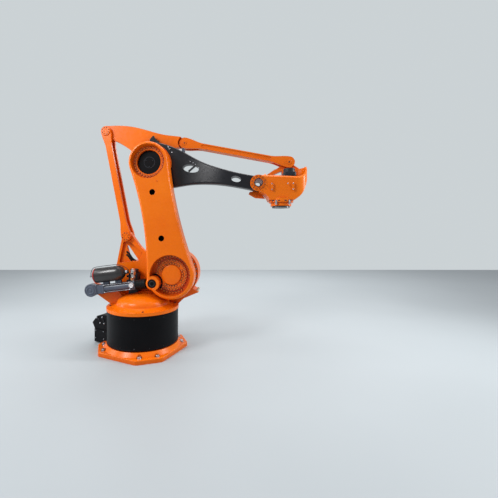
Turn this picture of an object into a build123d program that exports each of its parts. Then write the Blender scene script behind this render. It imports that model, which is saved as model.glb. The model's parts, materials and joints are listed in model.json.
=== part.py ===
from build123d import *
import math
import os

# Four-axis palletizing robot arm, in millimetres.
# Origin: turning axis of the column at floor level. +X is the way the arm reaches,
# +Z is up, and the link arm stands on the -Y side of the column.

# Driving dimensions: the arm chain
SHOULDER_OFFSET = 350.0
SHOULDER_HEIGHT = 850.0
LINK_LENGTH = 1300.0
ARM_LENGTH = 1250.0
WRIST_OFFSET = 250.0
FLANGE_DROP = 266.0
LINK_LEAN = 11.3
ARM_DROP = 12.0

# Driving dimensions: the two parallel rod linkages, as levers from the elbow
REAR_LEVER_BACK = 595.0
REAR_LEVER_UP = 433.0
FRONT_LEVER_FORWARD = 363.0
FRONT_LEVER_UP = 275.0

# Sections of the two rods
REAR_BAR_R = 36.0
REAR_WEB_HALF = 10.0
FRONT_BAR_R = 32.0

# Driving dimensions: the base
PLATE_THICKNESS = 45.0
PLATE_FLAT = 495.0
PLATE_LOBE_HALF = 135.0
PLATE_TURN = -20.0
FLOOR_BOLT_CIRCLE_R = (441.0, 449.0)
FLOOR_BOLT_HOLE_R = 13.5
FLOOR_BOLT_HALF_ANGLE = 12.0
COVER_R = 403.0
COVER_BOTTOM = 98.0
COVER_TOP = 452.0
TURNTABLE_R = 410.0
TURNTABLE_BOTTOM = 458.0
TURNTABLE_TOP = 493.0

# Layers across the machine, from the near side (-Y) to the far side
LINK_NEAR = -156.0
LINK_FAR = 0.0
LINK_FLOOR = -45.0
ELBOW_FLOOR = -95.0
ARM_HUB_NEAR = 38.0
ARM_HUB_FAR = 118.0
LEVER_NEAR = 125.0
LEVER_FAR = 195.0
ELBOW_DISC_FAR = 150.0
FRONT_LUG_NEAR = 175.0
FRONT_LUG_FAR = 225.0
WALL_FAR = 310.0
ARM_TIP_HALF = 64.0
HAND_NEAR = -114.0
HAND_FAR = 165.0
HAND_SLOT_HALF = 69.0
BALANCER_Y = -80.0

# Round features of the joints
FOOT_R = 268.0
HEAD_R = 222.0
WAIST_R_REAR = 3400.0
WAIST_R_FRONT = 5000.0
PIN_BOSS_R = 76.0
BOWL_R = 229.0
ELBOW_RECESS_R = 193.0
ELBOW_FLOOR_R = 182.0
ARM_HUB_R = 268.0
LEVER_DISC_R = 280.0
SHOULDER_BOSS_R = 278.0
GEARBOX_R = 235.0
ELBOW_SHAFT_R = 90.0
SHOULDER_STUB_R = 120.0
RUNNING_GAP = 1.0
ROD_PIN_R = 28.0
WRIST_TIP_R = 78.0
HUB_RING_R = 88.0
WRIST_PIN_R = 52.0
WRIST_BORE_R = 40.0

# Balancer
TRUNNION_X = -585.0
TRUNNION_Z = 662.0
BALANCER_PIN_R = 30.0
BARREL_R = 50.0
BARREL_BORE_R = 43.0
PISTON_ROD_R = 19.0
BALANCER_SLOT_REACH = 330.0
BRACKET_NEAR = -24.0

# Hand and tool flange
HAND_WALL = 16.0
HAND_FLOOR = 1741.0
NECK_R = 111.0
NECK_BOTTOM = 1617.0
TOOL_FLANGE_R = 95.0
TOOL_FLANGE_THICKNESS = 13.0
TOOL_SHAFT_R = 60.0
TOOL_BOLT_COUNT = 12
TOOL_BOLT_CIRCLE_R = 80.0
TOOL_BOLT_HOLE_R = 6.0

# Turntable motor, upright beside the wall
TURNTABLE_MOTOR_AT = (-125.0, 54.0)
TURNTABLE_MOTOR_FOOT = 600.0


def polar(radius, degrees):
    return radius * math.cos(math.radians(degrees)), radius * math.sin(math.radians(degrees))


def along_link(along, across):
    """Side-view point measured from the shoulder along the leaning link arm."""
    lean = math.radians(LINK_LEAN)
    x = SHOULDER[0] - along * math.sin(lean) + across * math.cos(lean)
    z = SHOULDER[1] + along * math.cos(lean) + across * math.sin(lean)
    return x, z


SHOULDER = (SHOULDER_OFFSET, SHOULDER_HEIGHT)
ELBOW = along_link(LINK_LENGTH, 0)
WRIST = (
    ELBOW[0] + ARM_LENGTH * math.cos(math.radians(ARM_DROP)),
    ELBOW[1] - ARM_LENGTH * math.sin(math.radians(ARM_DROP)),
)
FLANGE_X = WRIST[0] + WRIST_OFFSET
FLANGE_Z = WRIST[1] - FLANGE_DROP
REAR_ROD_TOP = (ELBOW[0] - REAR_LEVER_BACK, ELBOW[1] + REAR_LEVER_UP)
REAR_ROD_FOOT = (SHOULDER[0] - REAR_LEVER_BACK, SHOULDER[1] + REAR_LEVER_UP)
FRONT_ROD_REAR = (ELBOW[0] + FRONT_LEVER_FORWARD, ELBOW[1] + FRONT_LEVER_UP)
FRONT_ROD_FRONT = (WRIST[0] + FRONT_LEVER_FORWARD, WRIST[1] + FRONT_LEVER_UP)
BALANCER_PIN = (SHOULDER[0] - 202.0, SHOULDER[1] - 90.0)
ELBOW_MOTOR_AT = (ELBOW[0] - 205.0, ELBOW[1] + 5.0)


def side_plane(y, at=(0, 0), turn=0.0):
    """Upright plane facing the near side, its first axis turned up from +X by turn."""
    angle = math.radians(turn)
    return Plane(origin=(at[0], y, at[1]), x_dir=(math.cos(angle), 0, math.sin(angle)), z_dir=(0, -1, 0))


def slab(sketch, near, far, at=(0, 0), turn=0.0):
    """A side-view sketch made solid from y = near to y = far."""
    return extrude(side_plane(far, at, turn) * sketch, far - near)


def disc(centre, radius, near, far):
    return slab(Circle(radius), near, far, centre)


def tube(centre, outer, inner, near, far):
    return slab(Circle(outer) - Circle(inner), near, far, centre)


def upright(centre_x, centre_y, radius, bottom, top):
    return Pos(centre_x, centre_y, bottom) * extrude(Circle(radius), top - bottom)


def outline(*edges):
    return make_face(Curve() + list(edges))


# The standing base


def floor_plate():
    """Octagonal plate with a lobe at each diagonal of the base, before it is turned."""
    corners = []
    for quarter in range(4):
        for side in (-PLATE_LOBE_HALF, PLATE_LOBE_HALF):
            corners.append(Vector(PLATE_FLAT, side, 0).rotate(Axis.Z, 90 * quarter))
    sketch = fillet(Polygon(*[(p.X, p.Y) for p in corners], align=None).vertices(), 60)
    plate = extrude(sketch, PLATE_THICKNESS)
    return chamfer(plate.faces().sort_by(Axis.Z)[-1].edges(), 4)


def base_plate():
    """Floor plate with two bolts in each lobe, and the frame under the cover."""
    plate = floor_plate()
    plate += Pos(0, 0, PLATE_THICKNESS) * Cone(
        438, 405, COVER_BOTTOM - 10 - PLATE_THICKNESS, align=(Align.CENTER, Align.CENTER, Align.MIN)
    )
    plate += upright(0, 0, 380, PLATE_THICKNESS, 430)
    for quarter in range(4):
        for side, circle_r in zip((-1, 1), FLOOR_BOLT_CIRCLE_R):
            x, y = polar(circle_r, 90 * quarter + side * FLOOR_BOLT_HALF_ANGLE)
            plate -= upright(x, y, FLOOR_BOLT_HOLE_R, -1, PLATE_THICKNESS + 1)
            plate -= upright(x, y, 27, PLATE_THICKNESS - 6, 200)
    return plate.rotate(Axis.Z, PLATE_TURN + 45)


def base_cover():
    cover = upright(0, 0, COVER_R, COVER_BOTTOM, COVER_TOP)
    cover -= upright(0, 0, COVER_R - 18, COVER_BOTTOM - 1, COVER_TOP - 14)
    cover -= upright(0, 0, COVER_R - 60, COVER_BOTTOM, COVER_TOP + 1)
    return chamfer(cover.edges().group_by(Axis.Z)[-1], 3)


def connector_box():
    """Cable junction box on the rear of the base."""
    box = Pos(-500, 0, 16) * Box(250, 300, 150, align=(Align.CENTER, Align.CENTER, Align.MIN))
    box = fillet(box.edges().filter_by(Axis.Z), 12)
    box -= upright(0, 0, 440, 0, COVER_BOTTOM) + upright(0, 0, COVER_R, 0, 400)
    return box.rotate(Axis.Z, PLATE_TURN) - floor_plate().rotate(Axis.Z, PLATE_TURN + 45)


def connector_head():
    """Sloping plug panel over the junction box."""
    profile = [(-395, 168), (-622, 168), (-662, 236), (-584, 322), (-500, 344), (-395, 344)]
    head = extrude(Plane.XZ.offset(-140) * make_face(Polyline(*profile, close=True)), 280)
    head -= upright(0, 0, COVER_R, 0, 400)
    return head.rotate(Axis.Z, PLATE_TURN)


# The turning column


def dome():
    """Crown of the turntable, over the column's gear."""
    crown = Spline((395, TURNTABLE_TOP - 1), (300, 515), (235, 560), (120, 580), (0, 582))
    foot = Polyline((0, 582), (0, TURNTABLE_TOP - 1), (395, TURNTABLE_TOP - 1))
    return revolve(Plane.XZ * make_face(Curve() + [crown, foot]), Axis.Z)


def wall_outline():
    """Side view of the column's wall: rear edge, tower, shoulder and front nose."""
    return outline(
        Polyline((-395, 480), (-395, 900), (-378, 930), (-310, 1265)),
        ThreePointArc((-310, 1265), (-245, 1340), (-185, 1300)),
        Spline((-185, 1300), (-25, 1112), (172, 1063), tangents=((0.62, -0.78), (1, 0.1))),
        Polyline((172, 1063), (350, 1063), (560, 667), (628, 622), (454, 546), (385, 480), (-395, 480)),
    )


def column():
    """Turntable, far side wall with the shoulder boss, and the rear rod's tower."""
    body = upright(0, 0, TURNTABLE_R, TURNTABLE_BOTTOM, TURNTABLE_TOP) + dome()
    body += slab(wall_outline(), LEVER_NEAR, LEVER_FAR)
    flank = outline(
        Polyline((-390, 480), (-390, 930), (-150, 1010), (172, 1063), (350, 1063)),
        Polyline((350, 1063), (560, 667), (600, 640), (454, 546), (385, 480), (-390, 480)),
    )
    body += slab(flank, LEVER_FAR - 1, WALL_FAR) & (
        upright(0, 0, 450, 470, 1200) + Pos(500, 250, 800) * Box(1000, 500, 700)
    )
    body += disc(SHOULDER, SHOULDER_BOSS_R, LEVER_NEAR, WALL_FAR)
    body += upright(*TURNTABLE_MOTOR_AT, 84, TURNTABLE_TOP - 1, TURNTABLE_MOTOR_FOOT)
    body -= disc(REAR_ROD_FOOT, 90, LEVER_FAR, 400) + disc(REAR_ROD_FOOT, 90, 0, LEVER_NEAR)
    body += disc(REAR_ROD_FOOT, 62, LEVER_NEAR, LEVER_FAR)
    body += disc(REAR_ROD_FOOT, ROD_PIN_R, 86, 234)
    pocket = outline(
        Polyline((-345, 960), (-288, 1215), (-205, 1215), (-50, 1085), (-100, 990), (-345, 960)),
    )
    body -= slab(fillet(pocket.vertices(), 12), LEVER_NEAR - 1, LEVER_NEAR + 30)
    slot = outline(Polyline((-258, 1165), (-238, 1175), (-105, 985), (-205, 985), (-258, 1165)))
    body -= slab(fillet(slot.vertices(), 6), 0, 400)
    body += disc(SHOULDER, SHOULDER_STUB_R, LINK_FLOOR + 2, LEVER_NEAR)
    return body


def shoulder_gearbox():
    return tube(SHOULDER, GEARBOX_R, SHOULDER_STUB_R, LINK_FAR + 5, LEVER_NEAR)


def servo_motor(width, length, cap_r):
    """Servo motor standing on its flange: square body, grooved sides, round end cap, two plugs."""
    body = extrude(RectangleRounded(width + 14, width + 14, 22), 16)
    body += extrude(RectangleRounded(width, width, width * 0.18), length)
    for side in range(4):
        for across in (-0.2, 0, 0.2):
            groove = Pos(width / 2, across * width, length * 0.55) * Box(10, width * 0.07, length * 0.62)
            body -= groove.rotate(Axis.Z, 90 * side)
    body += Pos(0, 0, length) * extrude(Circle(cap_r), 44)
    body -= Pos(0, 0, length + 38) * extrude(Circle(cap_r - 12) - Circle(cap_r * 0.3), 10)
    for along in (0.62, 0.84):
        plug = Pos(0, width / 2 - 4, length * along) * extrude(Plane.XZ * Circle(width * 0.11), -38)
        body += plug
    return body


def turntable_motor():
    motor = servo_motor(116, 250, 48).rotate(Axis.Z, 90)
    return Pos(*TURNTABLE_MOTOR_AT, TURNTABLE_MOTOR_FOOT) * motor


def shoulder_motor():
    return Pos(290, WALL_FAR, 745) * servo_motor(190, 250, 88).rotate(Axis.X, -90)


def balancer_bracket():
    """Arm from the turntable to the balancer's rear pivot."""
    sketch = outline(
        Polyline((-645, 640), (-560, 610), (-385, 494), (-215, 494), (-215, 560), (-330, 690), (-560, 730)),
        Polyline((-560, 730), (-645, 690), (-645, 640)),
    )
    bracket = slab(sketch, BRACKET_NEAR, 6) + disc((TRUNNION_X, TRUNNION_Z), 72, BRACKET_NEAR, 6)
    bracket += disc((TRUNNION_X, TRUNNION_Z), BALANCER_PIN_R, BALANCER_Y - 30, 0)
    rib = outline(Polyline((-380, 494), (-215, 494), (-215, 560), (-380, 640), (-380, 494)))
    bracket += slab(rib, 5, LEVER_NEAR)
    bracket -= dome() + upright(*TURNTABLE_MOTOR_AT, 86, 400, 700)
    return bracket


def stop_buffer():
    buffer = slab(Pos(606, 640) * Rectangle(28, 44), 140, 180)
    return buffer - slab(wall_outline(), LEVER_NEAR, LEVER_FAR) - disc(SHOULDER, SHOULDER_BOSS_R, 0, 400)


# The link arm


def waist_arc(side, waist_r):
    """Hollow side of the link arm: an arc that touches the foot and the head circles."""
    to_foot, to_head = FOOT_R + waist_r, HEAD_R + waist_r
    along = (LINK_LENGTH**2 + to_foot**2 - to_head**2) / (2 * LINK_LENGTH)
    across = math.sqrt(to_foot**2 - along**2)
    foot = (side * across * FOOT_R / to_foot, along * FOOT_R / to_foot)
    head = (side * across * HEAD_R / to_head, LINK_LENGTH - (LINK_LENGTH - along) * HEAD_R / to_head)
    return ThreePointArc(foot, (side * (across - waist_r), along), head)


def balancer_slot():
    """Room that the balancer's rod sweeps round its pin as the link arm swings."""
    back, down = 168, 278
    sweep = [(0, 0)] + [polar(BALANCER_SLOT_REACH, back + (down - back) * i / 4) for i in range(5)]
    slot = Circle(72) + make_face(Polyline(*sweep, close=True))
    for angle in (back, down):
        edge = Pos(BALANCER_SLOT_REACH / 2, 0) * Rectangle(BALANCER_SLOT_REACH, 2 * PISTON_ROD_R + 16)
        slot += edge.rotate(Axis.Z, angle)
    return slot


def link_arm():
    """Hollow casting from the shoulder to the elbow, waisted in side view."""
    left, right = waist_arc(-1, WAIST_R_REAR), waist_arc(1, WAIST_R_FRONT)
    body = make_face(Curve() + [left, Line(left @ 1, right @ 1), right, Line(right @ 0, left @ 0)])
    sketch = Circle(FOOT_R) + body + Pos(0, LINK_LENGTH) * Circle(HEAD_R)
    pin_across, pin_along = link_local(BALANCER_PIN)
    boss = Pos(pin_across, pin_along) * Circle(PIN_BOSS_R)
    kinks = [v for v in (sketch + boss).vertices() if abs(math.dist((v.X, v.Y), (pin_across, pin_along)) - PIN_BOSS_R) < 1]
    sketch = fillet(kinks, 40)
    arm = slab(sketch, LINK_NEAR, LINK_FAR, SHOULDER, LINK_LEAN)
    near_edges = arm.faces().sort_by(Axis.Y)[0].outer_wire().edges()
    arm = fillet(near_edges, 30)

    bowl = Circle(BOWL_R) - Pos(pin_across, pin_along) * Circle(82)
    arm -= slab(bowl, LINK_NEAR - 1, LINK_FLOOR, SHOULDER, LINK_LEAN)
    arm -= disc(SHOULDER, SHOULDER_STUB_R + RUNNING_GAP, LINK_FLOOR - 1, LINK_FAR + 1)
    recess = Cone(ELBOW_FLOOR_R, ELBOW_RECESS_R, ELBOW_FLOOR - LINK_NEAR + 1)
    recess = recess.rotate(Axis.X, 90)
    middle = (LINK_NEAR - 1 + ELBOW_FLOOR) / 2
    arm -= Pos(ELBOW[0], middle, ELBOW[1]) * recess
    arm -= disc(ELBOW, 138, ELBOW_FLOOR - 1, -56)
    arm -= disc(ELBOW, ELBOW_SHAFT_R + RUNNING_GAP, -57, LINK_FAR + 1)
    for along in (423, 947):
        arm -= disc(along_link(along, -12), 33, LINK_NEAR - 1, LINK_FAR + 1)

    arm -= slab(balancer_slot(), BALANCER_Y - 33, BALANCER_Y + 33, BALANCER_PIN)
    arm -= disc(BALANCER_PIN, BALANCER_PIN_R, LINK_NEAR - 1, -20)
    arm -= disc(BALANCER_PIN, 50, LINK_NEAR - 1, LINK_NEAR + 14)
    return arm


def link_local(point):
    """Across and along position of a side-view point in the link arm's own frame."""
    lean = math.radians(LINK_LEAN)
    dx, dz = point[0] - SHOULDER[0], point[1] - SHOULDER[1]
    return dx * math.cos(lean) + dz * math.sin(lean), dz * math.cos(lean) - dx * math.sin(lean)


def balancer_pin():
    return disc(BALANCER_PIN, BALANCER_PIN_R, LINK_NEAR + 14, -20) + disc(BALANCER_PIN, 44, -154, LINK_NEAR + 14)


def shoulder_gear_face():
    """Bolted output face of the shoulder gear, in the link arm's bowl."""
    return disc(SHOULDER, 180, LINK_FLOOR - 16, LINK_FLOOR) - disc(BALANCER_PIN, 84, -200, 0)


def elbow_ring():
    return tube(ELBOW, 232, 130, LINK_FAR, LINK_FAR + 32)


def elbow_cap():
    return disc(ELBOW, 133, -68, -56)


# The balancer

BALANCER_ANGLE = math.degrees(math.atan2(BALANCER_PIN[1] - TRUNNION_Z, BALANCER_PIN[0] - TRUNNION_X))
BALANCER_REACH = math.hypot(BALANCER_PIN[1] - TRUNNION_Z, BALANCER_PIN[0] - TRUNNION_X)


def on_balancer(start, end, outer, inner=0.0):
    """Round piece along the balancer's line, at distances from its rear pivot."""
    angle = math.radians(BALANCER_ANGLE)
    ahead = (math.cos(angle), 0, math.sin(angle))
    origin = (TRUNNION_X + start * ahead[0], BALANCER_Y, TRUNNION_Z + start * ahead[2])
    section = Circle(outer) if inner == 0 else Circle(outer) - Circle(inner)
    return extrude(Plane(origin=origin, z_dir=ahead) * section, end - start)


def balancer_clevis():
    centre = (TRUNNION_X, TRUNNION_Z)
    block = slab(Pos(70, 0) * Rectangle(140, 96), BALANCER_Y - 33, BALANCER_Y + 33, centre, BALANCER_ANGLE)
    block += disc(centre, 74, BALANCER_Y - 36, BALANCER_Y + 33)
    block += disc(centre, 50, BALANCER_Y + 30, BRACKET_NEAR - 2)
    block -= disc(centre, BALANCER_PIN_R + RUNNING_GAP, BALANCER_Y - 31, 0)
    return block


def balancer_barrel():
    return on_balancer(140, 200, BARREL_R) + on_balancer(200, 530, BARREL_R, BARREL_BORE_R)


def balancer_sleeve():
    return on_balancer(530, 652, 57, BARREL_BORE_R)


def accumulator():
    """Gas bottle with domed ends, clamped over the barrel."""
    centre_z = 858
    radius = 83
    left, right = -572, -155
    body = Pos(left + radius, BALANCER_Y, centre_z) * Sphere(radius)
    body += Pos(right - radius, BALANCER_Y, centre_z) * Sphere(radius)
    body += Pos(left + radius, BALANCER_Y, centre_z) * extrude(
        Plane.YZ * Circle(radius), right - left - 2 * radius
    )
    return body


def accumulator_cradle():
    cradle = slab(Pos(-470, 758) * Rectangle(40, 50), BALANCER_Y - 40, BALANCER_Y + 40)
    cradle += slab(Pos(-260, 770) * Rectangle(40, 40), BALANCER_Y - 40, BALANCER_Y + 40)
    cradle -= on_balancer(100, 560, BARREL_R)
    cradle -= accumulator()
    return cradle


def valve_block():
    block = Pos(-95, BALANCER_Y, 850) * Box(50, 60, 130)
    return block


def pressure_gauge():
    return disc((-94, 737), 28, -152, -134) + disc((-94, 734), 8, -135, BALANCER_Y - BARREL_R)


def balancer_rod():
    rod = on_balancer(BALANCER_REACH - 430, BALANCER_REACH - 20, PISTON_ROD_R)
    rod += disc(BALANCER_PIN, 54, BALANCER_Y - 28, BALANCER_Y + 28)
    rod -= disc(BALANCER_PIN, BALANCER_PIN_R + RUNNING_GAP, BALANCER_Y - 40, BALANCER_Y + 40)
    return rod


# The rods and the lever


def linkage_rod(foot, top, end_r, bar_r, throat):
    """Side view of a rod's plates: round ends that draw in smoothly to a straight bar."""
    length = math.dist(foot, top)
    half = [
        Spline((0, end_r), (throat, bar_r), tangents=((1, 0), (1, 0))),
        Line((throat, bar_r), (length - throat, bar_r)),
        Spline((length - throat, bar_r), (length, end_r), tangents=((1, 0), (1, 0))),
    ]
    other = [edge.mirror(Plane.XZ) for edge in half]
    bar = make_face(Curve() + half + other + [Line((0, end_r), (0, -end_r)), Line((length, end_r), (length, -end_r))])
    plate = bar + Circle(end_r) + Pos(length, 0) * Circle(end_r)
    return plate - Circle(ROD_PIN_R + RUNNING_GAP) - Pos(length, 0) * Circle(ROD_PIN_R + RUNNING_GAP)


def angle_between(a, b):
    return math.degrees(math.atan2(b[1] - a[1], b[0] - a[0]))


def rear_rod():
    """H-section rod that holds the lever level from the column."""
    turn = angle_between(REAR_ROD_FOOT, REAR_ROD_TOP)
    plate = linkage_rod(REAR_ROD_FOOT, REAR_ROD_TOP, 60, REAR_BAR_R, 210)
    rod = slab(plate, 88, 119, REAR_ROD_FOOT, turn) + slab(plate, 201, 232, REAR_ROD_FOOT, turn)
    web = Pos(LINK_LENGTH / 2, 0) * Rectangle(LINK_LENGTH - 240, 2 * REAR_WEB_HALF)
    rod += slab(web, 118, 202, REAR_ROD_FOOT, turn)
    for pivot in (REAR_ROD_FOOT, REAR_ROD_TOP):
        rod -= disc(pivot, 96, 119, 201)
    return rod


def front_rod():
    """Box rod that holds the hand level from the lever, grooved along both faces."""
    turn = angle_between(FRONT_ROD_REAR, FRONT_ROD_FRONT)
    plate = linkage_rod(FRONT_ROD_REAR, FRONT_ROD_FRONT, 64, FRONT_BAR_R, 230)
    groove = Pos(ARM_LENGTH / 2, 0) * SlotOverall(ARM_LENGTH - 420, 34)
    grooved = plate - groove
    rod = slab(plate, 152, 169, FRONT_ROD_REAR, turn) + slab(plate, 231, 248, FRONT_ROD_REAR, turn)
    rod += slab(grooved, 146, 153, FRONT_ROD_REAR, turn) + slab(grooved, 247, 254, FRONT_ROD_REAR, turn)
    web = Pos(ARM_LENGTH / 2, 0) * Rectangle(ARM_LENGTH - 340, 2 * FRONT_BAR_R)
    rod += slab(web, 168, 232, FRONT_ROD_REAR, turn)
    return rod


def lever():
    """Three-point casting that hangs on the elbow and carries both rods."""
    rear, front = REAR_ROD_TOP, FRONT_ROD_REAR
    ex, ez = ELBOW
    sketch = outline(
        Spline(
            (rear[0] - 20, rear[1] + 70), (ex - 245, ez + 478), (ex + 128, ez + 372), (front[0], front[1] + 60),
            tangents=((1, 0.05), (1, -0.2)),
        ),
        Line((front[0], front[1] + 60), (front[0] + 10, front[1] - 60)),
        Spline((front[0] + 10, front[1] - 60), (ex + 215, ez + 190), (ex + 120, ez + 40)),
        Line((ex + 120, ez + 40), (ex - 150, ez + 60)),
        Spline((ex - 150, ez + 60), (ex - 295, ez + 200), (ex - 480, ez + 318), (rear[0] + 10, rear[1] - 72)),
        Line((rear[0] + 10, rear[1] - 72), (rear[0] - 20, rear[1] + 70)),
    )
    body = slab(sketch, LEVER_NEAR, LEVER_FAR)
    body += disc(rear, 74, LEVER_NEAR, LEVER_FAR)
    body -= disc(ELBOW, LEVER_DISC_R + 1, 0, ELBOW_DISC_FAR)
    body += disc(ELBOW, 118, ELBOW_DISC_FAR, LEVER_FAR + 30)
    body += disc(front, 60, LEVER_NEAR, FRONT_LUG_FAR)
    body -= disc(front, 78, LEVER_NEAR - 1, FRONT_LUG_NEAR)
    body -= disc(rear, 90, 0, LEVER_NEAR) + disc(rear, 90, LEVER_FAR, 400)
    body += disc(rear, ROD_PIN_R, 86, 234)
    body += disc(front, ROD_PIN_R, 143, 257)
    body += disc(ELBOW, ELBOW_SHAFT_R, LINK_FLOOR + 2, LEVER_FAR)
    body -= slab(RectangleRounded(176, 176, 32), 0, 600, ELBOW_MOTOR_AT)
    body -= slab(RectangleRounded(192, 192, 24), LEVER_FAR, 600, ELBOW_MOTOR_AT)
    window = slab(SlotOverall(150, 46, rotation=-14), 0, 400, (ex - 60, ez + 300))
    return body - window


def elbow_disc():
    return tube(ELBOW, LEVER_DISC_R, ELBOW_SHAFT_R, ARM_HUB_FAR + 5, ELBOW_DISC_FAR)


def elbow_motor():
    """Motor through the lever, geared to the arm's hub."""
    x, z = ELBOW_MOTOR_AT
    nose = slab(RectangleRounded(170, 170, 30), ELBOW_DISC_FAR, LEVER_FAR, ELBOW_MOTOR_AT)
    return nose + Pos(x, LEVER_FAR, z) * servo_motor(176, 250, 80).rotate(Axis.X, -90)


# The arm and the hand


def arm():
    """Tapering box arm: its side view and its plan view, crossed."""
    turn = -ARM_DROP
    top = Spline(
        (0, ARM_HUB_R), (366, 205), (556, 143), (997, 78), (ARM_LENGTH, WRIST_TIP_R),
        tangents=((1, 0.02), (1, 0)),
    )
    bottom = Spline(
        (ARM_LENGTH, -WRIST_TIP_R), (781, -92), (612, -117), (445, -160), (279, -221), (0, -ARM_HUB_R),
        tangents=((-1, 0), (-1, -0.1)),
    )
    side = outline(top, Line(top @ 1, bottom @ 0), bottom, Line(bottom @ 1, top @ 0))
    side += Circle(ARM_HUB_R) + Pos(ARM_LENGTH, 0) * Circle(WRIST_TIP_R)
    hub_end, tip_start, tip_end = 320, 1010, 1400
    near = Spline(
        (hub_end, ARM_HUB_NEAR), (560, 14), (800, -46), (tip_start, -ARM_TIP_HALF), tangents=((1, 0), (1, 0))
    )
    far = Spline((tip_start, ARM_TIP_HALF), (640, 92), (hub_end, ARM_HUB_FAR), tangents=((-1, 0), (-1, 0)))
    plan = outline(
        Line((-300, ARM_HUB_NEAR), near @ 0), near,
        Polyline(near @ 1, (tip_end, -ARM_TIP_HALF), (tip_end, ARM_TIP_HALF), far @ 0), far,
        Polyline(far @ 1, (-300, ARM_HUB_FAR), (-300, ARM_HUB_NEAR)),
    )
    plan_plane = Plane(
        origin=(ELBOW[0], 0, ELBOW[1]),
        x_dir=(math.cos(math.radians(turn)), 0, math.sin(math.radians(turn))),
        z_dir=(math.sin(math.radians(-turn)), 0, math.cos(math.radians(turn))),
    )
    body = slab(side, -80, 130, ELBOW, turn) & extrude(plan_plane * plan, 400, both=True)
    long_edges = [edge for edge in body.edges() if edge.length > 500]
    body = fillet(long_edges, 20)
    body -= disc(ELBOW, ELBOW_SHAFT_R + RUNNING_GAP, 0, 200)
    body -= disc(WRIST, WRIST_PIN_R + RUNNING_GAP, -100, 100)
    for along, across, length, height in ((461, 38, 194, 90), (1002, 3, 111, 66)):
        body -= slab(Pos(along, across) * Ellipse(length / 2, height / 2), -100, 200, ELBOW, turn)
    rib = Pos(470, 38) * Rectangle(16, 96).rotate(Axis.Z, -38)
    body += slab(rib, 30, 60, ELBOW, turn)
    return body


def bucket(inset):
    """The hand's bucket, crossed from its side view and plan view, or its hollow if inset."""
    right, bottom = FLANGE_X + 281 - inset, 1680 + inset
    front = Spline(
        (FLANGE_X + 135 - inset, bottom), (FLANGE_X + 185 - inset, 1718 + inset),
        (FLANGE_X + 239 - inset, 1794), (right - 15, 1870), (right, 1960), tangents=((1, 0.75), (0, 1)),
    )
    top = Polyline((right, 1960), (right, 2056 + inset), (1510, 2056 + inset))
    if inset:
        back = Polyline((1510, 2056 + inset), (1395, 2056 + inset), (1395, bottom), front @ 0)
    else:
        back = Polyline((1510, 2056), (1372, 1950), (1325, 1948), (1296, 1784))
        back += Spline((1296, 1784), (1385, 1748), (1433, bottom), tangents=((1, -0.2), (0.25, -1)))
        back += Line((1433, bottom), front @ 0)
    near, far, cheek = HAND_NEAR + inset, HAND_FAR - inset, -HAND_NEAR - inset
    plan = Polygon((1230, near), (right, near), (right, far), (1388, far), (1340, cheek), (1230, cheek), align=None)
    plan = fillet(plan.vertices().filter_by(lambda v: v.X > 1800 and v.Y < 0), 125 - inset)
    plan = fillet(plan.vertices().filter_by(lambda v: v.X > 1800 and v.Y > 140), 110 - inset)
    side = make_face(Curve() + front.edges() + top.edges() + back.edges())
    return slab(side, -200, 200) & Pos(0, 0, 1600) * extrude(plan, 500)


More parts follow.
